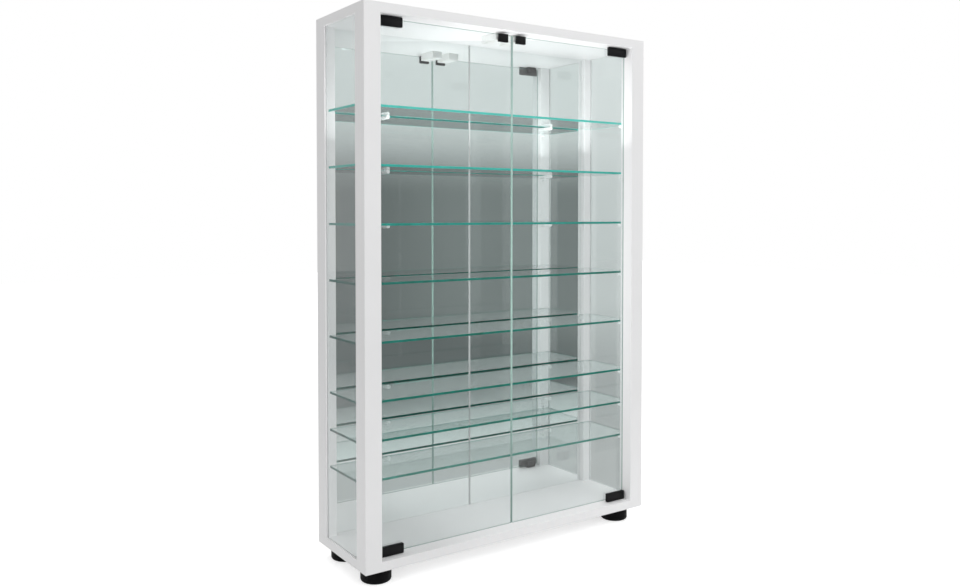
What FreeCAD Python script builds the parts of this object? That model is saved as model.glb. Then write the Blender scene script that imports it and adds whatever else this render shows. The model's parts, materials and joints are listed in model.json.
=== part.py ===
import FreeCAD, Part
import math
import os

# Display cabinet with two glass doors, glass sides, a mirrored back and eight glass shelves.
# Millimetres. X runs right, Y runs back, Z runs up. The origin is on the floor under the middle.

# Overall size
cabinet_width = 600.0
cabinet_depth = 180.0
carcass_height = 904.0
foot_height = 26.0

# Boards and posts
board_thickness = 16.0
front_post_width = 30.0
front_post_depth = 32.0
rear_post_width = 23.0
rear_post_depth = 32.0
edge_round = 1.0

# Fits
fastener_fit = 0.1
running_fit = 0.05
sliding_fit = 0.2
end_play = 0.5
overrun = 2.0

# Grooves, side panes and back
groove_depth = 6.0
groove_play = 0.25
pane_thickness = 4.0
pane_setback = 3.0
mirror_thickness = 4.0
mirror_setback = 22.0
back_board_thickness = 3.0
strip_web = 1.2
strip_front_flange = 3.0
strip_rear_flange = 20.0
strip_wall = 0.8

# Shelves and pegs, from the lowest shelf upwards
shelf_thickness = 4.0
shelf_end_gap = 3.0
shelf_play = 1.0
lowest_shelf_rise = 120.0
top_shelf_room = 144.0
shelf_pitch_counts = [2, 2, 3, 3, 3, 3, 3]
peg_radius = 2.5
peg_tongue_radius = 4.0
peg_drop = 2.6
front_peg_entry = 7.5
front_peg_reach = 9.0
front_peg_inset = 25.0
back_peg_reach = 18.0
back_peg_inset = 117.0

# Feet
foot_radius = 25.5
foot_round = 4.0
foot_inset_x = 38.0
front_foot_inset = 38.0
rear_foot_inset = 30.0
foot_bore_radius = 5.5
foot_bore_depth = 9.0
foot_screw_radius = 2.0
foot_screw_head_radius = 4.0
foot_screw_head_height = 3.0

# Joints between posts and boards
blind_skin = 4.0
dowel_radius = 4.0
dowel_post_entry = 20.0
front_dowel_inset_x = 16.0
front_dowel_inset_y = 23.0
rear_dowel_inset_x = 8.0
rear_dowel_inset_y = 19.5
screw_radius = 2.5
screw_length = 50.0
screw_head_radius = 5.0
screw_head_height = 3.0
front_screw_inset_x = 16.0
front_screw_inset_y = 9.0
rear_screw_inset_x = 9.5
rear_screw_inset_y = 8.0
cap_radius = 6.0
cap_thickness = 2.0

# Doors
door_setback = 20.0
door_thickness = 4.0
door_side_gap = 2.0
door_middle_gap = 2.0
door_board_gap = 4.0

# Hinges
hinge_length = 44.0
hinge_height = 16.0
hinge_leg = 5.2
hinge_pad = 0.8
hinge_pad_margin = 2.0
hinge_board_gap = 1.0
hinge_end_inset = 1.0
hinge_corner = 0.8
hinge_web_play = 0.3
rear_leg_width = 20.0
rear_leg_height = 12.0
rear_leg_inset = 9.5
pivot_inset = 7.0
pin_radius = 1.5
pin_hold = 10.0
pin_reach = 8.0
bush_radius = 4.0
bush_flange_radius = 5.5
bush_flange = 0.7
grub_radius = 2.0
grub_spacing = 10.0
hex_radius = 1.1
hex_depth = 2.0

# Strike clips and push latches
clip_width = 20.0
clip_height = 14.0
clip_wall = 1.2
clip_centre = 19.0
latch_width = 22.0
latch_length = 44.0
latch_height = 13.0
latch_rear_wall = 6.0
latch_bore_radius = 4.0
latch_tip_gap = 0.3
latch_stand_off = 4.0
plunger_length = 30.0
magnet_radius = 2.6
magnet_length = 4.0
latch_screw_radius = 1.5
latch_screw_head_radius = 3.0
latch_screw_head_height = 2.0
latch_screw_spread = 15.0
latch_screw_margin = 10.0
spring_wire_radius = 0.3
spring_turns = 5
spring_side_gap = 0.4
spring_end_gap = 0.1

# Places worked out from the sizes above
half_width = cabinet_width / 2
front_face = -cabinet_depth / 2
back_face = cabinet_depth / 2
floor_top = foot_height + board_thickness
cabinet_top = foot_height + carcass_height
ceiling = cabinet_top - board_thickness
blind_depth = board_thickness - blind_skin
peg_pitch = (ceiling - floor_top - lowest_shelf_rise - top_shelf_room) / sum(shelf_pitch_counts)
front_inner = half_width - front_post_width
rear_inner = half_width - rear_post_width
front_post_back = front_face + front_post_depth
rear_post_front = back_face - rear_post_depth
pane_outer = half_width - pane_setback
pane_inner = pane_outer - pane_thickness
mirror_front = back_face - mirror_setback
mirror_back = mirror_front + mirror_thickness
back_board_back = mirror_back + back_board_thickness
glass_front = front_face + door_setback
glass_back = glass_front + door_thickness
door_outer = front_inner - door_side_gap
door_inner = door_middle_gap / 2
door_bottom = floor_top + door_board_gap
door_top = ceiling - door_board_gap
pivot_x = front_inner - pivot_inset
pivot_y = glass_front - hinge_pad - hinge_leg / 2
middle_height = (floor_top + ceiling) / 2
sides = (("left", -1), ("right", 1))

origin = FreeCAD.Vector()
along_x = FreeCAD.Vector(1, 0, 0)
along_y = FreeCAD.Vector(0, 1, 0)
along_z = FreeCAD.Vector(0, 0, 1)


def block(x_low, x_high, y_low, y_high, z_low, z_high):
    corner = FreeCAD.Vector(x_low, y_low, z_low)
    return Part.makeBox(x_high - x_low, y_high - y_low, z_high - z_low, corner)


def rod(radius, x, y, z, length, axis=along_z):
    start = FreeCAD.Vector(x, y, z)
    return Part.makeCylinder(radius, length, start, axis)


def to_side(shape, sign):
    if sign > 0:
        return shape
    return shape.mirror(origin, along_x)


def flip_height(shape):
    return shape.mirror(FreeCAD.Vector(0, 0, middle_height), along_z)


def edges_along(shape, axis):
    chosen = []
    for edge in shape.Edges:
        start, end = edge.Vertexes[0].Point, edge.Vertexes[-1].Point
        if (end - start).cross(axis).Length < end_play / 2:
            chosen.append(edge)
    return chosen


def edges_at_height(shape, height):
    chosen = []
    for edge in shape.Edges:
        if abs(edge.BoundBox.ZMin - height) < end_play / 2 and abs(edge.BoundBox.ZMax - height) < end_play / 2:
            chosen.append(edge)
    return chosen


def save(node, solids):
    shapes = solids if isinstance(solids, list) else [solids]
    pieces = []
    for shape in shapes:
        pieces.extend(shape.Solids)
    result = pieces[0] if len(pieces) == 1 else Part.makeCompound(pieces)
    result.exportStep("parts/" + node + ".step")


# Boards

def post_fixings():
    # Centres, seen from above on the right, of each post's dowel and screw
    dowels = [
        (half_width - front_dowel_inset_x, front_face + front_dowel_inset_y),
        (half_width - rear_dowel_inset_x, back_face - rear_dowel_inset_y),
    ]
    screws = [
        (half_width - front_screw_inset_x, front_face + front_screw_inset_y),
        (half_width - rear_screw_inset_x, back_face - rear_screw_inset_y),
    ]
    return dowels, screws


def foot_centres():
    x = half_width - foot_inset_x
    return {"front": (x, front_face + front_foot_inset), "rear": (x, back_face - rear_foot_inset)}


def pane_groove(z_low, z_high):
    return block(pane_inner - groove_play, pane_outer + groove_play,
                 front_post_back - groove_depth, rear_post_front + groove_depth, z_low, z_high)


def back_groove(x_high, z_low, z_high):
    return block(-x_high, x_high, mirror_front - groove_play, back_board_back + groove_play, z_low, z_high)


def plain_board(z_low, z_high, rounded_height):
    board = block(-half_width, half_width, front_face, back_face, z_low, z_high)
    round_edges = edges_along(board, along_z) + edges_at_height(board, rounded_height)
    return board.makeFillet(edge_round, round_edges)


def bottom_board():
    board = plain_board(foot_height, floor_top, foot_height)
    groove_low = floor_top - groove_depth
    groove_high = floor_top + overrun
    cuts = [back_groove(rear_inner + groove_depth, groove_low, groove_high)]
    dowels, screws = post_fixings()
    for _, sign in sides:
        cuts.append(to_side(pane_groove(groove_low, groove_high), sign))
        for x, y in dowels:
            cuts.append(rod(dowel_radius + fastener_fit, sign * x, y, floor_top - blind_depth, blind_depth + overrun))
        for x, y in screws:
            head_depth = screw_head_height + overrun
            cuts.append(rod(screw_head_radius + fastener_fit, sign * x, y, foot_height - overrun, head_depth))
            cuts.append(rod(screw_radius + fastener_fit, sign * x, y, foot_height, board_thickness + overrun))
        for x, y in foot_centres().values():
            cuts.append(rod(foot_screw_radius + fastener_fit, sign * x, y, foot_height - overrun,
                            blind_depth + overrun))
        cuts.append(rod(bush_radius + fastener_fit, sign * pivot_x, pivot_y, floor_top - blind_depth,
                        blind_depth + overrun))
    return board.cut(cuts)


def latch_screw_places():
    housing_front = latch_front()
    near = housing_front + latch_screw_margin
    far = housing_front + latch_length - latch_screw_margin
    half_spread = latch_screw_spread / 2
    return [(clip_centre - half_spread, near), (clip_centre + half_spread, far)]


def top_board():
    board = plain_board(ceiling, cabinet_top, cabinet_top)
    groove_low = ceiling - overrun
    groove_high = ceiling + groove_depth
    cuts = [back_groove(rear_inner + groove_depth, groove_low, groove_high)]
    dowels, screws = post_fixings()
    for _, sign in sides:
        cuts.append(to_side(pane_groove(groove_low, groove_high), sign))
        for x, y in dowels:
            cuts.append(rod(dowel_radius + fastener_fit, sign * x, y, ceiling - overrun, blind_depth + overrun))
        for x, y in screws:
            head_low = cabinet_top - cap_thickness - screw_head_height
            cuts.append(rod(cap_radius + fastener_fit, sign * x, y, cabinet_top - cap_thickness,
                            cap_thickness + overrun))
            cuts.append(rod(screw_head_radius + fastener_fit, sign * x, y, head_low, screw_head_height))
            cuts.append(rod(screw_radius + fastener_fit, sign * x, y, ceiling - overrun, board_thickness))
        for x, y in latch_screw_places():
            cuts.append(rod(latch_screw_radius + fastener_fit, sign * x, y, ceiling - overrun,
                            blind_depth + overrun))
        cuts.append(rod(bush_radius + fastener_fit, sign * pivot_x, pivot_y, ceiling - overrun,
                        blind_depth + overrun))
    return board.cut(cuts)


# Posts

def shelf_undersides():
    heights = [floor_top + lowest_shelf_rise]
    for count in shelf_pitch_counts:
        heights.append(heights[-1] + count * peg_pitch)
    return heights


def end_holes(dowel, screw):
    dowel_hole = dowel_post_entry + end_play
    screw_hole = screw_length - board_thickness + end_play
    cuts = []
    for x, y, radius, depth in ((*dowel, dowel_radius, dowel_hole), (*screw, screw_radius, screw_hole)):
        cuts.append(rod(radius + fastener_fit, x, y, floor_top - overrun, depth + overrun))
        cuts.append(rod(radius + fastener_fit, x, y, ceiling - depth, depth + overrun))
    return cuts


def front_post():
    post = block(front_inner, half_width, front_face, front_post_back, floor_top, ceiling)
    post = post.makeFillet(edge_round, edges_along(post, along_z))
    dowels, screws = post_fixings()
    cuts = end_holes(dowels[0], screws[0])
    cuts.append(pane_groove(floor_top - overrun, ceiling + overrun))
    hole = front_peg_entry + end_play
    for underside in shelf_undersides():
        cuts.append(rod(peg_radius + fastener_fit, half_width - front_peg_inset, front_post_back - hole,
                        underside - peg_drop, hole + overrun, along_y))
    return post.cut(cuts)


def rear_post():
    post = block(rear_inner, half_width, rear_post_front, back_face, floor_top, ceiling)
    post = post.makeFillet(edge_round, edges_along(post, along_z))
    dowels, screws = post_fixings()
    cuts = end_holes(dowels[1], screws[1])
    cuts.append(pane_groove(floor_top - overrun, ceiling + overrun))
    cuts.append(back_groove(rear_inner + groove_depth, floor_top - overrun, ceiling + overrun))
    return post.cut(cuts)


# Glass, mirror and back

def side_pane():
    entry = groove_depth - end_play
    return block(pane_inner, pane_outer, front_post_back - entry, rear_post_front + entry,
                 floor_top - groove_depth, ceiling + entry)


def back_half(y_low, y_high):
    entry = groove_depth - end_play
    half = block(strip_web / 2 + groove_play, rear_inner + entry, y_low, y_high,
                 floor_top - groove_depth, ceiling + entry)
    cuts = []
    for underside in shelf_undersides():
        cuts.append(rod(peg_radius + fastener_fit, half_width - back_peg_inset, y_low - overrun,
                        underside - peg_drop, y_high - y_low + 2 * overrun, along_y))
    return half.cut(cuts)


def back_strip():
    front_flange = block(-strip_front_flange / 2, strip_front_flange / 2, mirror_front - strip_wall, mirror_front,
                         floor_top, ceiling)
    web = block(-strip_web / 2, strip_web / 2, mirror_front - strip_wall, back_board_back + strip_wall,
                floor_top, ceiling)
    rear_flange = block(-strip_rear_flange / 2, strip_rear_flange / 2, back_board_back,
                        back_board_back + strip_wall, floor_top, ceiling)
    return front_flange.fuse([web, rear_flange]).removeSplitter()


def shelf(underside):
    shelf_end = pane_inner - shelf_end_gap
    return block(-shelf_end, shelf_end, front_post_back + shelf_play, rear_post_front - shelf_play,
                 underside, underside + shelf_thickness)


def shelf_peg(x, face, direction, entry, reach, underside):
    # A round pin in the post or back and a round tongue in front of it, cut flat under the glass
    centre = underside - peg_drop
    outwards = FreeCAD.Vector(0, direction, 0)
    pin = rod(peg_radius, x, face - direction * entry, centre, entry, outwards)
    tongue = rod(peg_tongue_radius, x, face, centre, reach, outwards)
    low, high = sorted((face - overrun, face + direction * (reach + overrun)))
    above = block(x - peg_tongue_radius - overrun, x + peg_tongue_radius + overrun, low - overrun, high + overrun,
                  underside, underside + peg_tongue_radius)
    return pin.fuse(tongue.cut(above)).removeSplitter()


def side_pegs():
    back_entry = mirror_thickness + back_board_thickness
    pegs = []
    for underside in shelf_undersides():
        pegs.append(shelf_peg(half_width - front_peg_inset, front_post_back, 1, front_peg_entry, front_peg_reach,
                              underside))
        pegs.append(shelf_peg(half_width - back_peg_inset, mirror_front, -1, back_entry, back_peg_reach,
                              underside))
    return pegs


# Feet and fasteners

def foot(x, y):
    puck = rod(foot_radius, x, y, 0, foot_height)
    puck = puck.makeFillet(foot_round, edges_at_height(puck, 0))
    bore = rod(foot_bore_radius, x, y, -overrun, foot_bore_depth + overrun)
    hole = rod(foot_screw_radius + fastener_fit, x, y, 0, foot_height + overrun)
    return puck.cut([bore, hole])


def foot_screw(x, y):
    head = rod(foot_screw_head_radius, x, y, foot_bore_depth - foot_screw_head_height, foot_screw_head_height)
    reach = foot_height + blind_depth - end_play - foot_bore_depth
    shank = rod(foot_screw_radius, x, y, foot_bore_depth, reach)
    return head.fuse(shank)


def dowel_pair(x, y):
    board_entry = blind_depth - end_play
    length = board_entry + dowel_post_entry
    low = rod(dowel_radius, x, y, floor_top - board_entry, length)
    high = rod(dowel_radius, x, y, ceiling - dowel_post_entry, length)
    return [low, high]


def bottom_screw(x, y):
    head = rod(screw_head_radius, x, y, foot_height, screw_head_height)
    shank = rod(screw_radius, x, y, foot_height, screw_length)
    return head.fuse(shank).removeSplitter()


def top_screw(x, y):
    head_top = cabinet_top - cap_thickness
    head = rod(screw_head_radius, x, y, head_top - screw_head_height, screw_head_height)
    shank = rod(screw_radius, x, y, cabinet_top - screw_length, screw_length - cap_thickness)
    return head.fuse(shank).removeSplitter()


def screw_cap(x, y):
    return rod(cap_radius, x, y, cabinet_top - cap_thickness, cap_thickness)


# Hinges, built for the upper right corner and mirrored to the others

def hinge_ends():
    outer = door_outer - hinge_end_inset
    return outer - hinge_length, outer


def hinge_heights():
    high = ceiling - hinge_board_gap
    return high - hinge_height, high


def rear_leg_ends():
    outer = hinge_ends()[1] - rear_leg_inset
    return outer - rear_leg_width, outer


def grub_places():
    low, high = rear_leg_ends()
    middle = (low + high) / 2
    return [middle - grub_spacing / 2, middle + grub_spacing / 2]


def pad_heights(leg_height):
    low = hinge_heights()[1] - leg_height
    return low + hinge_pad_margin, door_top - hinge_pad_margin


def hinge_clamp():
    inner, outer = hinge_ends()
    low, high = hinge_heights()
    leg_back = glass_front - hinge_pad
    front_leg = block(inner, outer, leg_back - hinge_leg, leg_back, low, high)
    front_leg = front_leg.makeChamfer(hinge_corner, edges_along(front_leg, along_y))
    rear_inner_end, rear_outer_end = rear_leg_ends()
    rear_leg_front = glass_back + hinge_pad
    rear_leg_back = rear_leg_front + hinge_leg
    web = block(rear_inner_end, rear_outer_end, leg_back, rear_leg_back, door_top + hinge_web_play, high)
    rear_leg = block(rear_inner_end, rear_outer_end, rear_leg_front, rear_leg_back, high - rear_leg_height, high)
    clamp = front_leg.fuse([web, rear_leg]).removeSplitter()
    cuts = [rod(pin_radius + fastener_fit, pivot_x, pivot_y, high - pin_hold - end_play, pin_hold + overrun)]
    for x in grub_places():
        cuts.append(rod(grub_radius + fastener_fit, x, rear_leg_front - overrun / 2, grub_height(),
                        hinge_leg + overrun, along_y))
    return clamp.cut(cuts)


def hinge_pads():
    inner, outer = hinge_ends()
    front = block(inner + hinge_pad_margin, outer - hinge_pad_margin, glass_front - hinge_pad, glass_front,
                  *pad_heights(hinge_height))
    rear_low, rear_high = rear_leg_ends()
    rear = block(rear_low, rear_high, glass_back, glass_back + hinge_pad, *pad_heights(rear_leg_height))
    return [front, rear]


def grub_height():
    return sum(pad_heights(rear_leg_height)) / 2


def grub_screw(x):
    height = grub_height()
    start = glass_back + hinge_pad
    screw = rod(grub_radius, x, start, height, hinge_leg, along_y)
    corners = []
    for step in range(7):
        angle = math.radians(60 * step)
        corners.append(FreeCAD.Vector(x + hex_radius * math.cos(angle), start + hinge_leg - hex_depth,
                                      height + hex_radius * math.sin(angle)))
    socket = Part.Face(Part.makePolygon(corners)).extrude(along_y * (hex_depth + overrun))
    return screw.cut(socket)


def hinge_pin():
    high = hinge_heights()[1]
    return rod(pin_radius, pivot_x, pivot_y, high - pin_hold, pin_hold + hinge_board_gap + pin_reach)


def pivot_bush():
    body = rod(bush_radius, pivot_x, pivot_y, ceiling, blind_depth - end_play)
    flange = rod(bush_flange_radius, pivot_x, pivot_y, ceiling - bush_flange, bush_flange)
    bore = rod(pin_radius + running_fit, pivot_x, pivot_y, ceiling - bush_flange - overrun,
               bush_flange + overrun + pin_reach + end_play)
    return body.fuse(flange).cut(bore)


# Doors

def door_glass():
    return block(door_inner, door_outer, glass_front, glass_back, door_bottom, door_top)


def strike_clip():
    low, high = clip_centre - clip_width / 2, clip_centre + clip_width / 2
    top = door_top + clip_wall
    bottom = top - clip_height
    outside = block(low, high, glass_front - clip_wall, glass_back + clip_wall, bottom, top)
    slot = block(low - overrun, high + overrun, glass_front, glass_back, bottom - overrun, door_top)
    return outside.cut(slot)


# Push latches

def latch_tip():
    return glass_back + clip_wall + latch_tip_gap


def latch_front():
    return latch_tip() + latch_stand_off


def latch_axis_height():
    return ceiling - latch_height / 2


def latch_bore_end():
    return latch_front() + latch_length - latch_rear_wall


def latch_housing():
    low, high = clip_centre - latch_width / 2, clip_centre + latch_width / 2
    front = latch_front()
    bottom = ceiling - latch_height
    housing = block(low, high, front, front + latch_length, bottom, ceiling)
    housing = housing.makeFillet(edge_round, edges_along(housing, along_z))
    cuts = [rod(latch_bore_radius, clip_centre, front - overrun, latch_axis_height(),
                latch_length - latch_rear_wall + overrun, along_y)]
    for x, y in latch_screw_places():
        cuts.append(rod(latch_screw_radius + fastener_fit, x, y, bottom, latch_height + overrun))
        cuts.append(rod(latch_screw_head_radius + fastener_fit, x, y, bottom - overrun,
                        latch_screw_head_height + overrun))
    return housing.cut(cuts)


def latch_plunger():
    radius = latch_bore_radius - sliding_fit
    plunger = rod(radius, clip_centre, latch_tip(), latch_axis_height(), plunger_length, along_y)
    seat = rod(magnet_radius + fastener_fit, clip_centre, latch_tip() - overrun, latch_axis_height(),
               magnet_length + overrun, along_y)
    return plunger.cut(seat)


def latch_magnet():
    return rod(magnet_radius, clip_centre, latch_tip(), latch_axis_height(), magnet_length, along_y)


def latch_spring():
    # Quarter turns of wire as arcs, from the plunger's end to the end of the bore
    start = latch_tip() + plunger_length + spring_end_gap + spring_wire_radius
    end = latch_bore_end() - spring_end_gap - spring_wire_radius
    coil_radius = latch_bore_radius - spring_side_gap - spring_wire_radius
    rise = (end - start) / spring_turns

    def coil_point(turn):
        angle = 2 * math.pi * turn
        return FreeCAD.Vector(clip_centre + coil_radius * math.cos(angle), start + rise * turn,
                              latch_axis_height() + coil_radius * math.sin(angle))

    arcs = []
    for quarter in range(4 * spring_turns):
        turns = [(quarter + part) / 4 for part in (0, 0.5, 1)]
        arcs.append(Part.Arc(*[coil_point(turn) for turn in turns]).toShape())
    path = Part.Wire(arcs)
    tangent = arcs[0].tangentAt(arcs[0].FirstParameter)
    section = Part.Wire(Part.makeCircle(spring_wire_radius, coil_point(0), tangent))
    return path.makePipeShell([section], True, False)


def latch_screw(x, y):
    bottom = ceiling - latch_height
    head = rod(latch_screw_head_radius, x, y, bottom, latch_screw_head_height)
    shank = rod(latch_screw_radius, x, y, bottom, latch_height + blind_depth - end_play)
    return head.fuse(shank).removeSplitter()


# Write one file for each piece, or for each group of like fasteners

os.makedirs("parts", exist_ok=True)

save("top_board", top_board())
save("bottom_board", bottom_board())
save("back_joint_strip", back_strip())

for number, underside in enumerate(shelf_undersides(), start=1):
    save("shelf_" + str(number), shelf(underside))

dowel_centres, screw_centres = post_fixings()
carcass_dowels = []
bottom_screws = []
top_screws = []
screw_caps = []
foot_screws = []
pivot_bushes = []
latch_screws = []

for side, sign in sides:
    save(side + "_front_post", to_side(front_post(), sign))
    save(side + "_rear_post", to_side(rear_post(), sign))
    save(side + "_side_pane", to_side(side_pane(), sign))
    save(side + "_mirror", to_side(back_half(mirror_front, mirror_back), sign))
    save(side + "_back_board", to_side(back_half(mirror_back, back_board_back), sign))
    save(side + "_shelf_pegs", [to_side(peg, sign) for peg in side_pegs()])
    for end, (x, y) in foot_centres().items():
        save(end + "_" + side + "_foot", foot(sign * x, y))
        foot_screws.append(foot_screw(sign * x, y))
    for x, y in dowel_centres:
        carcass_dowels.extend(dowel_pair(sign * x, y))
    for x, y in screw_centres:
        bottom_screws.append(bottom_screw(sign * x, y))
        top_screws.append(top_screw(sign * x, y))
        screw_caps.append(screw_cap(sign * x, y))

    clamp = to_side(hinge_clamp(), sign)
    save(side + "_upper_hinge", clamp)
    save(side + "_lower_hinge", flip_height(clamp))
    upper_pads = [to_side(pad, sign) for pad in hinge_pads()]
    save(side + "_hinge_pads", upper_pads + [flip_height(pad) for pad in upper_pads])
    upper_screws = [to_side(grub_screw(x), sign) for x in grub_places()]
    save(side + "_hinge_screws", upper_screws + [flip_height(screw) for screw in upper_screws])
    upper_pin = to_side(hinge_pin(), sign)
    save(side + "_hinge_pins", [upper_pin, flip_height(upper_pin)])
    upper_bush = to_side(pivot_bush(), sign)
    pivot_bushes.extend([upper_bush, flip_height(upper_bush)])

    save(side + "_door_glass", to_side(door_glass(), sign))
    save(side + "_strike_clip", to_side(strike_clip(), sign))
    save(side + "_latch_housing", to_side(latch_housing(), sign))
    save(side + "_latch_plunger", to_side(latch_plunger(), sign))
    save(side + "_latch_magnet", to_side(latch_magnet(), sign))
    save(side + "_latch_spring", to_side(latch_spring(), sign))
    for x, y in latch_screw_places():
        latch_screws.append(to_side(latch_screw(x, y), sign))

save("carcass_dowels", carcass_dowels)
save("bottom_screws", bottom_screws)
save("top_screws", top_screws)
save("screw_caps", screw_caps)
save("foot_screws", foot_screws)
save("pivot_bushes", pivot_bushes)
save("latch_screws", latch_screws)
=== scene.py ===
import json
import math
import bmesh
import bpy
from mathutils import Matrix, Vector


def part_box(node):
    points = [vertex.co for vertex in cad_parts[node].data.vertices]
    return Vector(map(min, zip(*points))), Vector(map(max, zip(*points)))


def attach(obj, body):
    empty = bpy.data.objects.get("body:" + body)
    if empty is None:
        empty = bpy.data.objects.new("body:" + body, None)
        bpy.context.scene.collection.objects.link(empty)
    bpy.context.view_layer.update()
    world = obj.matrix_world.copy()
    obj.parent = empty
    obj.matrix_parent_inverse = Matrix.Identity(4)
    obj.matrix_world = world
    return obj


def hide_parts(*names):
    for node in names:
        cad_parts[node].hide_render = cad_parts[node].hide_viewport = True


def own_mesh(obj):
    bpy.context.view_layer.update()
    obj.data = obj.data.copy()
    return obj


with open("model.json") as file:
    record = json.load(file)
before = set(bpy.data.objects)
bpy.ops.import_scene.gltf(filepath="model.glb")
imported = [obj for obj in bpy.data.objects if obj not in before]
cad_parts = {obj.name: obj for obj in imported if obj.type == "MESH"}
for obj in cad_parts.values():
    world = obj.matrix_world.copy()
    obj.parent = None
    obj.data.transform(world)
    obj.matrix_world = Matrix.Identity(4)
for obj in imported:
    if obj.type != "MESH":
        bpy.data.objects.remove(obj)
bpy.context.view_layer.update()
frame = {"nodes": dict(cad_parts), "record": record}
nodes = frame["nodes"]
record = frame["record"]
bodyOf = {node: body for body, members in record["behaviour"]["bodies"].items() for node in members}
slotOf = {part["node"]: part["material_slot"] for part in record["subparts"]}
sides = ("left", "right")
scene = bpy.context.scene
scene.view_settings.view_transform = "Standard"


# Shader helpers
def addNode(tree, kind, **settings):
    node = tree.nodes.new("ShaderNode" + kind)
    for name, value in settings.items():
        setattr(node, name, value)
    return node


def addSocket(tree, name, direction, kind, value=None):
    socket = tree.interface.new_socket(name, in_out=direction, socket_type="NodeSocket" + kind)
    if value is not None:
        socket.default_value = value


def mapRange(tree, source, fromLow, fromHigh, toLow, toHigh, shape="LINEAR"):
    node = addNode(tree, "MapRange", interpolation_type=shape)
    for name, value in zip(("From Min", "From Max", "To Min", "To Max"), (fromLow, fromHigh, toLow, toHigh)):
        node.inputs[name].default_value = value
    tree.links.new(source, node.inputs["Value"])
    return node.outputs["Result"]


def mixColours(tree, factor, first, second):
    node = addNode(tree, "Mix", data_type="RGBA")
    tree.links.new(factor, node.inputs[0])
    for socket, colour in ((node.inputs[6], first), (node.inputs[7], second)):
        if isinstance(colour, tuple):
            socket.default_value = (*colour, 1.0)
        else:
            tree.links.new(colour, socket)
    return node.outputs[2]


def mixValues(tree, factor, first, second):
    node = addNode(tree, "Mix", data_type="FLOAT")
    tree.links.new(factor, node.inputs[0])
    for socket, value in ((node.inputs[2], first), (node.inputs[3], second)):
        if isinstance(value, float):
            socket.default_value = value
        else:
            tree.links.new(value, socket)
    return node.outputs[0]


# Fine or broad mottling, 0 to 1, stretched along the piece where the making leaves a direction
def buildGrainGroup():
    group = bpy.data.node_groups.new("surfaceGrain", "ShaderNodeTree")
    addSocket(group, "Scale", "INPUT", "Float", 600.0)
    addSocket(group, "Stretch", "INPUT", "Vector", (1.0, 1.0, 1.0))
    addSocket(group, "Contrast", "INPUT", "Float", 1.0)
    addSocket(group, "Mask", "OUTPUT", "Float")
    entry = group.nodes.new("NodeGroupInput")
    leave = group.nodes.new("NodeGroupOutput")
    place = addNode(group, "TexCoord")
    stretch = addNode(group, "VectorMath", operation="MULTIPLY")
    noise = addNode(group, "TexNoise")
    noise.inputs["Detail"].default_value = 4.0
    noise.inputs["Roughness"].default_value = 0.6
    centre = addNode(group, "Math", operation="SUBTRACT")
    centre.inputs[1].default_value = 0.5
    spread = addNode(group, "Math", operation="MULTIPLY_ADD", use_clamp=True)
    spread.inputs[2].default_value = 0.5
    group.links.new(place.outputs["Object"], stretch.inputs[0])
    group.links.new(entry.outputs["Stretch"], stretch.inputs[1])
    group.links.new(stretch.outputs[0], noise.inputs["Vector"])
    group.links.new(entry.outputs["Scale"], noise.inputs["Scale"])
    group.links.new(noise.outputs[0], centre.inputs[0])
    group.links.new(centre.outputs[0], spread.inputs[0])
    group.links.new(entry.outputs["Contrast"], spread.inputs[1])
    group.links.new(spread.outputs[0], leave.inputs["Mask"])
    return group


grainGroup = buildGrainGroup()
fleckStart = 0.45  # how strong the grain is where flecks begin


def placeGrain(tree, scale, stretch=(1.0, 1.0, 1.0), contrast=2.0):
    node = addNode(tree, "Group", node_tree=grainGroup)
    node.inputs["Scale"].default_value = scale
    node.inputs["Stretch"].default_value = stretch
    node.inputs["Contrast"].default_value = contrast
    return node.outputs["Mask"]


def makeMaterial(name, look):
    material = bpy.data.materials.new(name)
    material.use_nodes = True
    tree = material.node_tree
    shader = tree.nodes["Principled BSDF"]
    drift = placeGrain(tree, look["drift"], look.get("driftStretch", (1.0, 1.0, 1.0)))
    grain = placeGrain(tree, look["grain"], look.get("grainStretch", (1.0, 1.0, 1.0)))
    tone = mixColours(tree, drift, look["dark"], look["light"])
    if "fleck" in look:
        strength = mapRange(tree, grain, fleckStart, 1.0, 0.0, look["fleckShare"])
        tone = mixColours(tree, strength, tone, look["fleck"])
    tree.links.new(tone, shader.inputs["Base Color"])
    tree.links.new(mapRange(tree, grain, 0.0, 1.0, *look["rough"]), shader.inputs["Roughness"])
    if "bump" in look:
        bump = addNode(tree, "Bump")
        bump.inputs["Strength"].default_value = look["bump"]
        bump.inputs["Distance"].default_value = look["bumpDepth"]
        tree.links.new(grain, bump.inputs["Height"])
        tree.links.new(bump.outputs["Normal"], shader.inputs["Normal"])
    for socket, value in look.get("shader", {}).items():
        shader.inputs[socket].default_value = value
    return material


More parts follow.
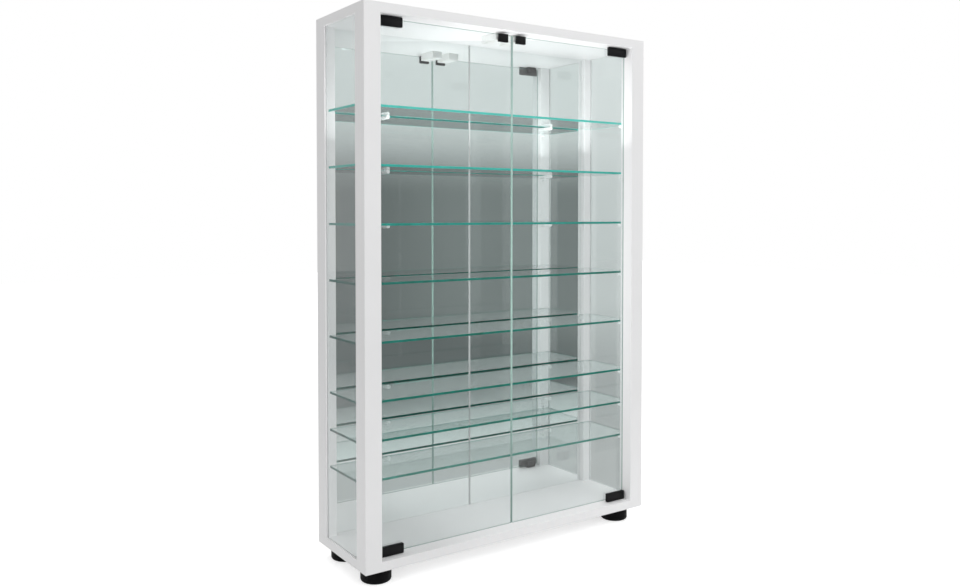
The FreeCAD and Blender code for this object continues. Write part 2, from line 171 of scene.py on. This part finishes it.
looks = {
    "white_board": {"dark": (0.80, 0.80, 0.805), "light": (0.835, 0.835, 0.84), "drift": 5.0, "grain": 900.0,
                    "rough": (0.36, 0.5), "bump": 0.08, "bumpDepth": 0.0002},
    "grey_strip": {"dark": (0.36, 0.37, 0.37), "light": (0.42, 0.43, 0.43), "drift": 9.0, "grain": 700.0,
                   "grainStretch": (1.0, 1.0, 0.05), "rough": (0.25, 0.4), "bump": 0.05, "bumpDepth": 0.0001},
    "pane_glass": {"dark": (0.795, 0.836, 0.831), "light": (0.815, 0.856, 0.851), "drift": 6.0, "grain": 14.0,
                   "rough": (0.0, 0.012), "shader": {"Transmission Weight": 1.0, "IOR": 1.52}},
    "shelf_glass": {"dark": (0.80, 0.875, 0.86), "light": (0.83, 0.9, 0.885), "drift": 6.0, "grain": 14.0,
                    "rough": (0.0, 0.02), "shader": {"Transmission Weight": 1.0, "IOR": 1.52}},
    "mirror": {"dark": (0.875, 0.9, 0.895), "light": (0.895, 0.92, 0.915), "drift": 4.0, "grain": 10.0,
               "rough": (0.005, 0.02), "shader": {"Metallic": 1.0}},
    "hardboard": {"dark": (0.25, 0.165, 0.10), "light": (0.37, 0.26, 0.165), "drift": 30.0, "grain": 420.0,
                  "fleck": (0.46, 0.35, 0.24), "fleckShare": 0.5, "rough": (0.6, 0.85), "bump": 0.35,
                  "bumpDepth": 0.0006},
    "clear_plastic": {"dark": (0.87, 0.9, 0.9), "light": (0.93, 0.95, 0.95), "drift": 60.0, "grain": 700.0,
                      "rough": (0.22, 0.36), "shader": {"Transmission Weight": 0.2, "IOR": 1.49}},
    "black_rubber": {"dark": (0.012, 0.012, 0.012), "light": (0.022, 0.022, 0.022), "drift": 60.0,
                     "grain": 900.0, "rough": (0.6, 0.8), "bump": 0.15, "bumpDepth": 0.0001,
                     "shader": {"Specular IOR Level": 0.3}},
    "black_metal": {"dark": (0.003, 0.003, 0.0035), "light": (0.006, 0.006, 0.007), "drift": 40.0,
                    "grain": 2400.0, "fleck": (0.014, 0.014, 0.015), "fleckShare": 0.3, "rough": (0.34, 0.5),
                    "bump": 0.18, "bumpDepth": 0.00015, "shader": {"Specular IOR Level": 0.14}},
    "black_plastic": {"dark": (0.0025, 0.0025, 0.003), "light": (0.005, 0.005, 0.0055), "drift": 40.0,
                      "grain": 1800.0, "rough": (0.45, 0.62), "bump": 0.25, "bumpDepth": 0.0002,
                      "shader": {"Specular IOR Level": 0.06}},
    "white_plastic": {"dark": (0.78, 0.78, 0.77), "light": (0.83, 0.83, 0.82), "drift": 50.0, "grain": 1500.0,
                      "rough": (0.3, 0.45), "bump": 0.1, "bumpDepth": 0.0001},
    "plated_steel": {"dark": (0.5, 0.51, 0.53), "light": (0.64, 0.64, 0.64), "drift": 120.0, "grain": 2600.0,
                     "grainStretch": (1.0, 1.0, 0.2), "rough": (0.2, 0.42), "bump": 0.1, "bumpDepth": 0.0001,
                     "shader": {"Metallic": 1.0}},
    "dark_steel": {"dark": (0.09, 0.09, 0.095), "light": (0.14, 0.14, 0.145), "drift": 120.0, "grain": 2600.0,
                   "rough": (0.3, 0.5), "bump": 0.1, "bumpDepth": 0.0001, "shader": {"Metallic": 1.0}},
    "dowel_wood": {"dark": (0.56, 0.41, 0.26), "light": (0.68, 0.53, 0.36), "drift": 500.0,
                   "driftStretch": (1.0, 1.0, 0.05), "grain": 900.0, "grainStretch": (1.0, 1.0, 0.05),
                   "rough": (0.5, 0.7), "bump": 0.2, "bumpDepth": 0.0003},
}
finish = {slot: makeMaterial(slot, look) for slot, look in looks.items()}

# Ground glass edges: the green of the glass seen along its length, with painted shade that makes it deeper
# towards the bottom of the cabinet, where less light runs in it. The shelves' end faces are drawn darker
# still.
edgeLooks = {
    "shelf_edge": {"shadedTone": (0.005, 0.13, 0.09), "litTone": (0.03, 0.66, 0.57), "shadeHeights": (0.45, 0.8),
                   "streak": 60.0, "rough": (0.12, 0.3), "specular": 0.25},
    "shelf_end": {"shadedTone": (0.004, 0.02, 0.016), "litTone": (0.015, 0.5, 0.42), "shadeHeights": (0.45, 0.8),
                  "streak": 60.0, "rough": (0.12, 0.3), "specular": 0.2},
    "pane_edge": {"shadedTone": (0.22, 0.32, 0.29), "litTone": (0.27, 0.38, 0.35), "shadeHeights": (0.6, 0.9),
                  "streak": 45.0, "rough": (0.15, 0.3), "specular": 0.3},
}
edgeMix = {"shadeShare": 0.85, "streakShare": 0.25, "ior": 1.52}


def makeEdgeMaterial(name, look):
    material = bpy.data.materials.new(name)
    material.use_nodes = True
    tree = material.node_tree
    shader = tree.nodes["Principled BSDF"]
    place = addNode(tree, "TexCoord")
    parts = addNode(tree, "SeparateXYZ")
    tree.links.new(place.outputs["Object"], parts.inputs[0])
    # Painted shade: the edge colour darkens from the top of the cabinet downwards
    level = mapRange(tree, parts.outputs["Z"], *look["shadeHeights"], 0.0, edgeMix["shadeShare"], "SMOOTHSTEP")
    streak = placeGrain(tree, look["streak"])
    share = addNode(tree, "Math", operation="MULTIPLY_ADD", use_clamp=True)
    share.inputs[1].default_value = edgeMix["streakShare"]
    tree.links.new(streak, share.inputs[0])
    tree.links.new(level, share.inputs[2])
    tone = mixColours(tree, share.outputs[0], look["shadedTone"], look["litTone"])
    tree.links.new(tone, shader.inputs["Base Color"])
    tree.links.new(mapRange(tree, streak, 0.0, 1.0, *look["rough"]), shader.inputs["Roughness"])
    shader.inputs["Specular IOR Level"].default_value = look["specular"]
    shader.inputs["IOR"].default_value = edgeMix["ior"]
    return material


finish.update({name: makeEdgeMaterial(name, look) for name, look in edgeLooks.items()})
print("materials:", len(finish))


# Piece helpers
def newMesh(name, shape):
    mesh = bpy.data.meshes.new(name)
    shape.to_mesh(mesh)
    shape.free()
    return mesh


def allParts(shape):
    return shape.verts[:] + shape.edges[:] + shape.faces[:]


def smoothOver(mesh, degrees):
    mesh.polygons.foreach_set("use_smooth", [True] * len(mesh.polygons))
    mesh.set_sharp_from_angle(angle=math.radians(degrees))
    return mesh


def addPiece(name, mesh, materials, replaced):
    for material in materials:
        if material.name not in mesh.materials:
            mesh.materials.append(material)
    piece = bpy.data.objects.new(name, mesh)
    scene.collection.objects.link(piece)
    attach(piece, bodyOf[replaced[0]])
    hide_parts(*replaced)
    return piece


def latheMesh(name, profile, segments):
    shape = bmesh.new()
    rings = []
    for radius, height in profile:
        if radius < 1e-7:
            rings.append([shape.verts.new((0.0, 0.0, height))])
            continue
        turn = [2 * math.pi * step / segments for step in range(segments)]
        rings.append([shape.verts.new((radius * math.cos(a), radius * math.sin(a), height)) for a in turn])
    for lower, upper in zip(rings, rings[1:]):
        for step in range(segments):
            after = (step + 1) % segments
            corners = [lower[step % len(lower)], lower[after % len(lower)],
                       upper[after % len(upper)], upper[step % len(upper)]]
            unique = list(dict.fromkeys(corners))
            if len(unique) > 2:
                shape.faces.new(unique)
    bmesh.ops.recalc_face_normals(shape, faces=shape.faces)
    return newMesh(name, shape)


def arcPoints(centre, radius, start, end, steps):
    angles = [math.radians(start + (end - start) * step / steps) for step in range(steps + 1)]
    return [(centre[0] + radius * math.cos(a), centre[1] + radius * math.sin(a)) for a in angles]


# A copy of a node with its corners joined
def joinedShape(node):
    shape = bmesh.new()
    shape.from_mesh(nodes[node].data)
    bmesh.ops.remove_doubles(shape, verts=shape.verts, dist=1e-5)
    return shape


# The same with its triangles merged and its sharp edges rounded
def dressNode(node, edgeRound, segments=2, crease=25.0):
    shape = joinedShape(node)
    bmesh.ops.dissolve_limit(shape, angle_limit=math.radians(0.5), verts=shape.verts, edges=shape.edges)
    sharp = [edge for edge in shape.edges
             if len(edge.link_faces) == 2 and edge.calc_face_angle() > math.radians(crease)]
    bmesh.ops.bevel(shape, geom=sharp, offset=edgeRound, segments=segments, profile=0.5, affect="EDGES",
                    clamp_overlap=True)
    return smoothOver(newMesh(node + "Dressed", shape), 40.0)


# Glass panes and shelves
paneLook = {"arris": 0.0004, "arrisSteps": 2, "flatFacing": 0.95, "endFacing": 0.5}
shelfNumbers = range(1, 9)


# The rims that stand in the grooves around an opening are drawn in white, painted light that lightens the
# shade in the grooves
def paleGrooveRims(shape, low, high, paleRimIndex):
    for axis, level in ((1, low.y), (1, high.y), (2, low.z), (2, high.z)):
        across = Vector((0.0, axis == 1, axis == 2))
        bmesh.ops.bisect_plane(shape, geom=allParts(shape), plane_co=across * level, plane_no=across)
    for face in shape.faces:
        middle = face.calc_center_median()
        if not (low.y < middle.y < high.y and low.z < middle.z < high.z):
            face.material_index = paleRimIndex


def glassSlab(name, node, thinAxis, edge, end, opening=None):
    low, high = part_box(node)
    shape = bmesh.new()
    bmesh.ops.create_cube(shape, size=1.0)
    bmesh.ops.scale(shape, vec=high - low, verts=shape.verts)
    bmesh.ops.translate(shape, vec=(low + high) / 2, verts=shape.verts)
    bmesh.ops.bevel(shape, geom=shape.edges[:], offset=paneLook["arris"], segments=paneLook["arrisSteps"],
                    profile=0.5, affect="EDGES")
    for face in shape.faces:
        ground = 2 if end != edge and abs(face.normal.x) > paneLook["endFacing"] else 1
        face.material_index = 0 if abs(face.normal[thinAxis]) > paneLook["flatFacing"] else ground
    if opening:
        paleGrooveRims(shape, *opening, 2)
    piece = addPiece(name, newMesh(name, shape), (finish[slotOf[node]], finish[edge], finish[end]), [node])
    piece.visible_shadow = False
    piece.visible_diffuse = False


for number in shelfNumbers:
    glassSlab("shelfGlass%d" % number, "shelf_%d" % number, 2, "shelf_edge", "shelf_end")
for side in sides:
    glassSlab(side + "DoorGlass", side + "_door_glass", 1, "pane_edge", "pane_edge")
    openLow = Vector((0.0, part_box(side + "_front_post")[1].y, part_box("bottom_board")[1].z))
    openHigh = Vector((0.0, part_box(side + "_rear_post")[0].y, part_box("top_board")[0].z))
    glassSlab(side + "SideGlass", side + "_side_pane", 0, "pane_edge", "white_board", (openLow, openHigh))
print("glass: 8 shelves, 2 doors, 2 side panes")

# Hinges and clips
hingeLook = {"edgeRound": 0.0003, "segments": 2}
clipLook = {"edgeRound": 0.00025, "segments": 2}
for side in sides:
    for level in ("upper", "lower"):
        node = "%s_%s_hinge" % (side, level)
        mesh = dressNode(node, hingeLook["edgeRound"], hingeLook["segments"])
        addPiece(side + level.title() + "Hinge", mesh, (finish["black_metal"],), [node])
    node = side + "_strike_clip"
    mesh = dressNode(node, clipLook["edgeRound"], clipLook["segments"])
    addPiece(side + "StrikeClip", mesh, (finish["black_metal"],), [node])
print("hinges and clips: 6")

# Feet
footLook = {"segments": 72, "round": 0.004, "roundSteps": 8, "topRound": 0.0008, "topSteps": 4,
            "boreRadius": 0.0055, "boreDepth": 0.009, "boreRound": 0.0006,
            "grooveLevel": 0.0165, "grooveDepth": 0.0004, "grooveHalf": 0.0005}


def footProfile(radius, height):
    rounding, bore = footLook["round"], footLook["boreRadius"]
    groove, half = footLook["grooveLevel"], footLook["grooveHalf"]
    points = [(0.0, footLook["boreDepth"]), (bore, footLook["boreDepth"]), (bore, footLook["boreRound"]),
              (bore + footLook["boreRound"], 0.0)]
    points += arcPoints((radius - rounding, rounding), rounding, -90.0, 0.0, footLook["roundSteps"])
    points += [(radius, groove - half), (radius - footLook["grooveDepth"], groove), (radius, groove + half)]
    rounding = footLook["topRound"]
    points += arcPoints((radius - rounding, height - rounding), rounding, 0.0, 90.0, footLook["topSteps"])
    return points + [(0.0, height)]


for end in ("front", "rear"):
    for side in sides:
        node = "%s_%s_foot" % (end, side)
        low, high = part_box(node)
        profile = footProfile((high.x - low.x) / 2, high.z - low.z)
        mesh = latheMesh(node + "Lathe", profile, footLook["segments"])
        mesh.transform(Matrix.Translation(((low.x + high.x) / 2, (low.y + high.y) / 2, low.z)))
        addPiece(end + side.title() + "Foot", smoothOver(mesh, 35.0), (finish["black_plastic"],), [node])
print("feet: 4")


# Pegs and screws: one shape set on many points
def buildRepeatTree():
    tree = bpy.data.node_groups.new("repeatPiece", "GeometryNodeTree")
    addSocket(tree, "Points", "INPUT", "Geometry")
    addSocket(tree, "Piece", "INPUT", "Object")
    addSocket(tree, "Size", "INPUT", "Float", 1.0)
    addSocket(tree, "Finish", "INPUT", "Material")
    addSocket(tree, "Geometry", "OUTPUT", "Geometry")
    entry = tree.nodes.new("NodeGroupInput")
    leave = tree.nodes.new("NodeGroupOutput")
    piece = tree.nodes.new("GeometryNodeObjectInfo")
    turn = tree.nodes.new("GeometryNodeInputNamedAttribute")
    turn.data_type = "FLOAT_VECTOR"
    turn.inputs["Name"].default_value = "turn"
    spin = tree.nodes.new("FunctionNodeEulerToRotation")
    place = tree.nodes.new("GeometryNodeInstanceOnPoints")
    real = tree.nodes.new("GeometryNodeRealizeInstances")
    coat = tree.nodes.new("GeometryNodeSetMaterial")
    tree.links.new(entry.outputs["Points"], place.inputs["Points"])
    tree.links.new(entry.outputs["Piece"], piece.inputs["Object"])
    tree.links.new(piece.outputs["Geometry"], place.inputs["Instance"])
    tree.links.new(turn.outputs["Attribute"], spin.inputs[0])
    tree.links.new(spin.outputs[0], place.inputs["Rotation"])
    tree.links.new(entry.outputs["Size"], place.inputs["Scale"])
    tree.links.new(place.outputs["Instances"], real.inputs["Geometry"])
    tree.links.new(real.outputs["Geometry"], coat.inputs["Geometry"])
    tree.links.new(entry.outputs["Finish"], coat.inputs["Material"])
    tree.links.new(coat.outputs["Geometry"], leave.inputs["Geometry"])
    return tree


repeatTree = buildRepeatTree()
repeatSockets = repeatTree.interface.items_tree
repeatInput = {item.name: item.identifier for item in repeatSockets if item.in_out == "INPUT"}


def repeatPiece(name, pattern, places, material, size=1.0):
    source = bpy.data.objects.new(name + "Pattern", pattern)
    points = bpy.data.meshes.new(name + "Points")
    points.from_pydata([place for place, turn in places], [], [])
    turns = points.attributes.new("turn", "FLOAT_VECTOR", "POINT")
    for index, (place, turn) in enumerate(places):
        turns.data[index].vector = turn
    holder = bpy.data.objects.new(name + "Holder", points)
    for item in (source, holder):
        scene.collection.objects.link(item)
    modifier = holder.modifiers.new("repeat", "NODES")
    modifier.node_group = repeatTree
    modifier[repeatInput["Piece"]] = source
    modifier[repeatInput["Size"]] = size
    modifier[repeatInput["Finish"]] = material
    depsgraph = bpy.context.evaluated_depsgraph_get()
    mesh = bpy.data.meshes.new_from_object(holder.evaluated_get(depsgraph))
    mesh.name = name
    for item in (source, holder):
        bpy.data.objects.remove(item)
    return mesh


pegLook = {"segments": 28, "pinRadius": 0.0025, "pinNose": 0.0005, "tongueRadius": 0.004, "flat": 0.0026,
           "nose": 0.0007, "collar": 0.0012, "collarStep": 0.0003,
           "frontLengths": (0.0075, 0.009), "backLengths": (0.007, 0.018)}  # pin, then tongue


# Lies along +Y from the face it stands in, with a flat on top that the shelf rests on
def pegMesh(pin, length):
    core, radius, nose, pinNose = (pegLook[name] for name in ("pinRadius", "tongueRadius", "nose", "pinNose"))
    collar, step = pegLook["collar"], pegLook["collarStep"]
    profile = [(0.0, -pin), (core - pinNose, -pin), (core, pinNose - pin), (core, 0.0),
               (radius, 0.0), (radius, collar), (radius - step, collar + step),
               (radius - step, length - nose), (radius - nose, length), (0.0, length)]
    mesh = latheMesh("peg", profile, pegLook["segments"])
    shape = bmesh.new()
    shape.from_mesh(mesh)
    bmesh.ops.rotate(shape, verts=shape.verts, matrix=Matrix.Rotation(math.radians(-90.0), 3, "X"))
    cut = bmesh.ops.bisect_plane(shape, geom=allParts(shape), plane_co=(0.0, 0.0, pegLook["flat"]),
                                 plane_no=(0.0, 0.0, 1.0), clear_outer=True)
    rim = [item for item in cut["geom_cut"] if isinstance(item, bmesh.types.BMEdge)]
    bmesh.ops.edgeloop_fill(shape, edges=rim)
    bmesh.ops.recalc_face_normals(shape, faces=shape.faces)
    shape.to_mesh(mesh)
    shape.free()
    return smoothOver(mesh, 30.0)


frontPlaces, backPlaces = [], []
for side in sides:
    low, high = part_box(side + "_shelf_pegs")
    outer, inner = (low.x, high.x) if side == "left" else (high.x, low.x)
    inward = 1.0 if side == "left" else -1.0
    frontX = outer + inward * pegLook["tongueRadius"]
    backX = inner - inward * pegLook["tongueRadius"]
    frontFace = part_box(side + "_front_post")[1].y
    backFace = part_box(side + "_mirror")[0].y
    for number in shelfNumbers:
        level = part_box("shelf_%d" % number)[0].z - pegLook["flat"]
        frontPlaces.append(((frontX, frontFace, level), (0.0, 0.0, 0.0)))
        backPlaces.append(((backX, backFace, level), (0.0, 0.0, math.pi)))
pegShape = bmesh.new()
for places, lengths in ((frontPlaces, pegLook["frontLengths"]), (backPlaces, pegLook["backLengths"])):
    pegShape.from_mesh(repeatPiece("shelfPegs", pegMesh(*lengths), places, finish["clear_plastic"]))
addPiece("shelfPegs", newMesh("shelfPegs", pegShape), (finish["clear_plastic"],),
         ["left_shelf_pegs", "right_shelf_pegs"])
print("pegs:", len(frontPlaces) + len(backPlaces))


# Shares of the head's and the shank's own sizes
screwShape = {"segments": 40, "round": 0.35, "roundSteps": 4, "tip": 0.2, "armReach": 0.62, "armWidth": 0.2,
              "armDepth": 0.6}


# A screw that stands on its head at the origin, with a cross recess underneath
def screwMesh(name, headRadius, headHeight, shankRadius, length):
    rounding = min(headHeight, headRadius) * screwShape["round"]
    profile = [(0.0, 0.0), (headRadius - rounding, 0.0)]
    profile += arcPoints((headRadius - rounding, rounding), rounding, -70.0, 0.0, screwShape["roundSteps"])
    profile += [(headRadius, headHeight), (shankRadius, headHeight), (shankRadius, length - shankRadius),
                (shankRadius * screwShape["tip"], length), (0.0, length)]
    head = bpy.data.objects.new(name, latheMesh(name, profile, screwShape["segments"]))
    scene.collection.objects.link(head)
    arms = bmesh.new()
    reach, width = headRadius * screwShape["armReach"], headRadius * screwShape["armWidth"]
    depth = headHeight * screwShape["armDepth"]
    for size in ((reach, width), (width, reach)):
        made = bmesh.ops.create_cube(arms, size=2.0)
        bmesh.ops.scale(arms, vec=(size[0], size[1], depth), verts=made["verts"])
    cross = bpy.data.objects.new(name + "Cross", newMesh(name + "Cross", arms))
    scene.collection.objects.link(cross)
    cut = head.modifiers.new("recess", "BOOLEAN")
    cut.operation = "DIFFERENCE"
    cut.solver = "EXACT"
    cut.use_self = True
    cut.object = cross
    mesh = bpy.data.meshes.new_from_object(head.evaluated_get(bpy.context.evaluated_depsgraph_get()))
    for item in (head, cross):
        bpy.data.objects.remove(item)
    return smoothOver(mesh, 35.0)


footScrewLook = {"headRadius": 0.004, "headHeight": 0.003, "shankRadius": 0.00175}
low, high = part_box("foot_screws")
places = []
for x in (low.x + footScrewLook["headRadius"], high.x - footScrewLook["headRadius"]):
    for y in (low.y + footScrewLook["headRadius"], high.y - footScrewLook["headRadius"]):
        places.append(((x, y, low.z), (0.0, 0.0, 7.0 * x + 11.0 * y)))
pattern = screwMesh("footScrew", length=high.z - low.z, **footScrewLook)
mesh = repeatPiece("footScrews", pattern, places, finish["plated_steel"])
addPiece("footScrews", mesh, (finish["plated_steel"],), ["foot_screws"])

boardScrewLook = {"headRadius": 0.005, "headHeight": 0.003, "shankRadius": 0.0025}
boardScrewInset = {"front": (0.016, 0.009), "rear": (0.0095, 0.008)}
low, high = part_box("bottom_screws")
boardLow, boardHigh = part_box("bottom_board")
places = []
for x, away in ((boardLow.x, 1.0), (boardHigh.x, -1.0)):
    front, rear = boardScrewInset["front"], boardScrewInset["rear"]
    places.append(((x + away * front[0], boardLow.y + front[1], low.z), (0.0, 0.0, 3.0 * x)))
    places.append(((x + away * rear[0], boardHigh.y - rear[1], low.z), (0.0, 0.0, 5.0 * x)))
pattern = screwMesh("boardScrew", length=high.z - low.z, **boardScrewLook)
mesh = repeatPiece("boardScrews", pattern, places, finish["plated_steel"])
addPiece("boardScrews", mesh, (finish["plated_steel"],), ["bottom_screws"])
print("screws: 8")

# Push latches
latchLook = {"housingRound": 0.0007, "plungerRound": 0.0003, "travel": 0.003}
for side in sides:
    for part in ("housing", "plunger"):
        node = "%s_latch_%s" % (side, part)
        mesh = dressNode(node, latchLook[part + "Round"])
        addPiece(side + "Latch" + part.title(), mesh, (finish["white_plastic"],), [node])
    # The spring gets a mesh of its own
    node = side + "_latch_spring"
    low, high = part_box(node)
    mesh = smoothOver(newMesh(side + "LatchSpring", joinedShape(node)), 50.0)
    spring = addPiece(side + "LatchSpring", mesh, (finish["plated_steel"],), [node])
    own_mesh(spring)
print("latches: 2")

# What stays as the nodes are takes its finish
for node, item in nodes.items():
    if not item.hide_render:
        item.data.materials.clear()
        item.data.materials.append(finish[slotOf[node]])

# Stage
stageLook = {"floorSide": 14.0, "floorTone": 0.8, "floorShadedToneThrough": 0.6, "floorGlow": 0.6,
             "floorThrough": 0.36, "floorShadowFade": (0.4, 5.0), "floorLeft": 0.12, "floorLeftFade": (-1.2, -0.3),
             "sky": 0.8, "skySlope": (0.12, -0.1, 0.12),
             "skyLeft": 0.15, "skyLeftFade": (-0.7, 0.2), "skyLow": 0.88, "skyLowFade": (-0.1, 0.15),
             "cardNear": -0.45, "cardFar": -3.2, "cardWide": (-4.0, 6.0), "cardHigh": 3.0, "cardLift": 0.003,
             "cardDark": (0.19, 0.2, 0.2), "cardGrey": (0.3, 0.315, 0.312), "cardWhite": (1.0, 1.0, 1.0),
             "cardNearFade": -1.0, "cardHighFade": (0.7, 1.25), "cardRightFade": (1.1, 2.2)}


# Separate strengths for light on surfaces and for what is reflected, seen through glass and seen directly
def strengthByRay(tree, lit, reflected, through, seen):
    path = addNode(tree, "LightPath")
    strength = mixValues(tree, path.outputs["Is Glossy Ray"], lit, reflected)
    strength = mixValues(tree, path.outputs["Is Transmission Ray"], strength, through)
    return mixValues(tree, path.outputs["Is Camera Ray"], strength, seen)


def flatMesh(name, quads):
    mesh = bpy.data.meshes.new(name)
    corners = [corner for quad in quads for corner in quad]
    mesh.from_pydata(corners, [], [tuple(range(4 * n, 4 * n + 4)) for n in range(len(quads))])
    item = bpy.data.objects.new(name, mesh)
    scene.collection.objects.link(item)
    return item


half = stageLook["floorSide"] / 2
floor = flatMesh("floor", [[(-half, -half, 0.0), (half, -half, 0.0), (half, half, 0.0), (-half, half, 0.0)]])
floorMaterial = bpy.data.materials.new("floor")
floorMaterial.use_nodes = True
tree = floorMaterial.node_tree
shader = tree.nodes["Principled BSDF"]
place = addNode(tree, "TexCoord")
parts = addNode(tree, "SeparateXYZ")
reach = addNode(tree, "VectorMath", operation="LENGTH")
for socket in (parts.inputs[0], reach.inputs[0]):
    tree.links.new(place.outputs["Object"], socket)
# Reflections show the floor on the left darker, as they do the sky there
leftFade = stageLook["floorLeftFade"]
# Painted shade: seen through glass the floor is drawn darker
plain, through = stageLook["floorTone"], stageLook["floorShadedToneThrough"]
reflected = mapRange(tree, parts.outputs["X"], *leftFade, stageLook["floorLeft"], plain)
tree.links.new(strengthByRay(tree, plain, reflected, through, plain), shader.inputs["Base Color"])
shader.inputs["Roughness"].default_value = 0.9
shader.inputs["Specular IOR Level"].default_value = 0.0
shader.inputs["Emission Color"].default_value = (1.0, 1.0, 1.0, 1.0)
# Painted shadow of the cabinet: the floor's glow seen through glass fades out towards the cabinet
shadowFade = stageLook["floorShadowFade"]
through = mapRange(tree, reach.outputs["Value"], *shadowFade, 0.0, stageLook["floorThrough"], "SMOOTHSTEP")
reflected = mapRange(tree, parts.outputs["X"], *leftFade, 0.0, stageLook["floorGlow"])
glow = strengthByRay(tree, 0.0, reflected, through, stageLook["floorGlow"])
tree.links.new(glow, shader.inputs["Emission Strength"])
floor.data.materials.append(floorMaterial)

world = bpy.data.worlds.new("studio")
scene.world = world
world.use_nodes = True
tree = world.node_tree
place = addNode(tree, "TexCoord")
slope = addNode(tree, "VectorMath", operation="DOT_PRODUCT")
slope.inputs[1].default_value = stageLook["skySlope"]
lit = addNode(tree, "Math", operation="ADD")
lit.inputs[1].default_value = stageLook["sky"]
parts = addNode(tree, "SeparateXYZ")
for socket in (slope.inputs[0], parts.inputs[0]):
    tree.links.new(place.outputs["Generated"], socket)
tree.links.new(slope.outputs["Value"], lit.inputs[0])
reflected = mapRange(tree, parts.outputs["X"], *stageLook["skyLeftFade"], stageLook["skyLeft"], 1.0)
through = mapRange(tree, parts.outputs["Z"], *stageLook["skyLowFade"], stageLook["skyLow"], 1.0)
backdrop = tree.nodes["Background"]
tree.links.new(strengthByRay(tree, lit.outputs[0], reflected, through, 1.0), backdrop.inputs["Strength"])
backdrop.inputs["Color"].default_value = (1.0, 1.0, 1.0, 1.0)

# A grey card in front of the cabinet, for the mirror to show
left, right = stageLook["cardWide"]
near, far, top, lift = (stageLook[name] for name in ("cardNear", "cardFar", "cardHigh", "cardLift"))
card = flatMesh("card", [[(left, far, lift), (right, far, lift), (right, near, lift), (left, near, lift)],
                         [(left, far, top), (right, far, top), (right, far, lift), (left, far, lift)]])
card.visible_camera = False
card.visible_diffuse = False
card.visible_shadow = False
cardMaterial = bpy.data.materials.new("card")
cardMaterial.use_nodes = True
tree = cardMaterial.node_tree
tree.nodes.remove(tree.nodes["Principled BSDF"])
glow = addNode(tree, "Emission")
tree.links.new(glow.outputs[0], tree.nodes["Material Output"].inputs["Surface"])
place = addNode(tree, "TexCoord")
parts = addNode(tree, "SeparateXYZ")
tree.links.new(place.outputs["Object"], parts.inputs[0])
nearShare = mapRange(tree, parts.outputs["Y"], stageLook["cardNearFade"], near, 0.0, 1.0, "SMOOTHSTEP")
highShare = mapRange(tree, parts.outputs["Z"], *stageLook["cardHighFade"], 0.0, 1.0, "SMOOTHSTEP")
paler = addNode(tree, "Math", operation="MAXIMUM")
tree.links.new(nearShare, paler.inputs[0])
tree.links.new(highShare, paler.inputs[1])
rightShare = mapRange(tree, parts.outputs["X"], *stageLook["cardRightFade"], 0.0, 1.0, "SMOOTHSTEP")
tone = mixColours(tree, rightShare, stageLook["cardDark"], stageLook["cardGrey"])
tree.links.new(mixColours(tree, paler.outputs[0], tone, stageLook["cardWhite"]), glow.inputs["Color"])
card.data.materials.append(cardMaterial)

lampLook = {
    "key": {"at": (1.7, -2.3, 2.3), "towards": (0.0, 0.0, 0.5), "size": (1.8, 1.8), "power": 14.0},
    "ceilingFill": {"at": (0.0, 0.0, 0.72), "towards": (0.0, 0.0, 1.0), "size": (0.54, 0.1), "power": 0.6},
    "rightFill": {"at": (-0.17, 0.0, 0.5), "towards": (1.0, 0.0, 0.5), "size": (0.1, 0.5), "power": 1.1},
    "backFill": {"at": (0.255, 0.05, 0.5), "towards": (0.255, -1.0, 0.5), "size": (0.03, 0.7), "power": 0.25},
}
for name, look in lampLook.items():
    light = bpy.data.lights.new(name, "AREA")
    light.shape = "RECTANGLE"
    light.size, light.size_y = look["size"]
    light.energy = look["power"]
    lamp = bpy.data.objects.new(name, light)
    lamp.location = look["at"]
    lamp.rotation_euler = (Vector(look["towards"]) - lamp.location).to_track_quat("-Z", "Y").to_euler()
    if name != "key":
        lamp.visible_glossy = False
        lamp.visible_transmission = False
    lamp.visible_camera = False
    scene.collection.objects.link(lamp)

# Camera, fitted to the photo's corners
cameraLook = {"at": (-0.925, -1.3313, 0.5986), "tilt": 88.396, "yaw": -34.183, "lens": 33.157, "sensor": 36.0,
              "shiftY": -0.058}
cameraData = bpy.data.cameras.new("camera")
cameraData.sensor_width = cameraLook["sensor"]
cameraData.lens = cameraLook["lens"]
cameraData.shift_y = cameraLook["shiftY"]
camera = bpy.data.objects.new("camera", cameraData)
camera.location = cameraLook["at"]
camera.rotation_euler = (math.radians(cameraLook["tilt"]), 0.0, math.radians(cameraLook["yaw"]))
scene.collection.objects.link(camera)
scene.camera = camera
print("stage: floor, card, lamps, camera")
